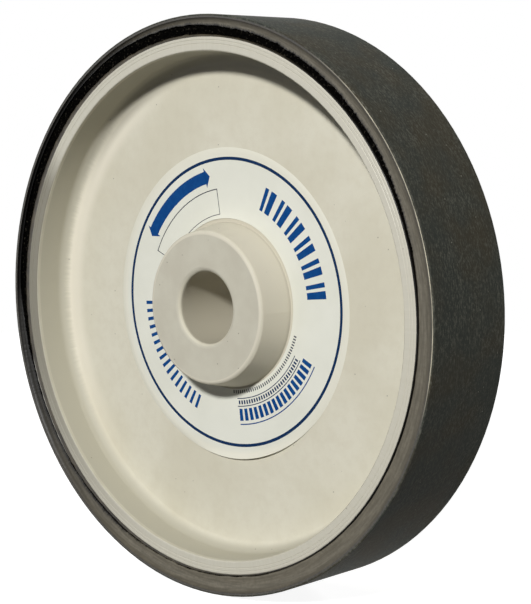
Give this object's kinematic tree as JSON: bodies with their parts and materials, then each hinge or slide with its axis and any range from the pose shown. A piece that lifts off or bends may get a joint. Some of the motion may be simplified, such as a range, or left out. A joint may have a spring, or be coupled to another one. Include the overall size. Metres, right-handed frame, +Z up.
{
  "type": "diamond grinding wheel",
  "caption": "Cushioned diamond grinding wheel for lapidary work: a plastic hub with a plain bore carries a foam ring and a diamond belt with sealed edges.",
  "frame": {"origin": "centre of the wheel: on the axis of the bore, midway across the belt's width", "axes": "+Y along the spin axis, away from the labelled front; +Z up as the wheel is shown; +X to the right seen from the label's side"},
  "size_m": [0.2032, 0.0382, 0.2032],
  "materials": {
    "hub_plastic": "moulded, satin, with a turned rim",
    "glue": "cured contact glue, smooth",
    "foam": "open cut sponge",
    "belt_cloth": "woven backing cloth",
    "diamond_resin": "resin filled with fine diamond",
    "edge_seal": "brushed-on flexible sealer",
    "label_vinyl": "smooth self-adhesive sheet, printed"
  },
  "bodies": {
    "root": {"hub": "hub_plastic", "hub_glue": "glue", "foam_cushion": "foam", "belt_glue": "glue", "belt_cloth": "belt_cloth", "diamond_face": "diamond_resin", "front_seal": "edge_seal", "rear_seal": "edge_seal", "label": "label_vinyl"}
  },
  "joints": []
}
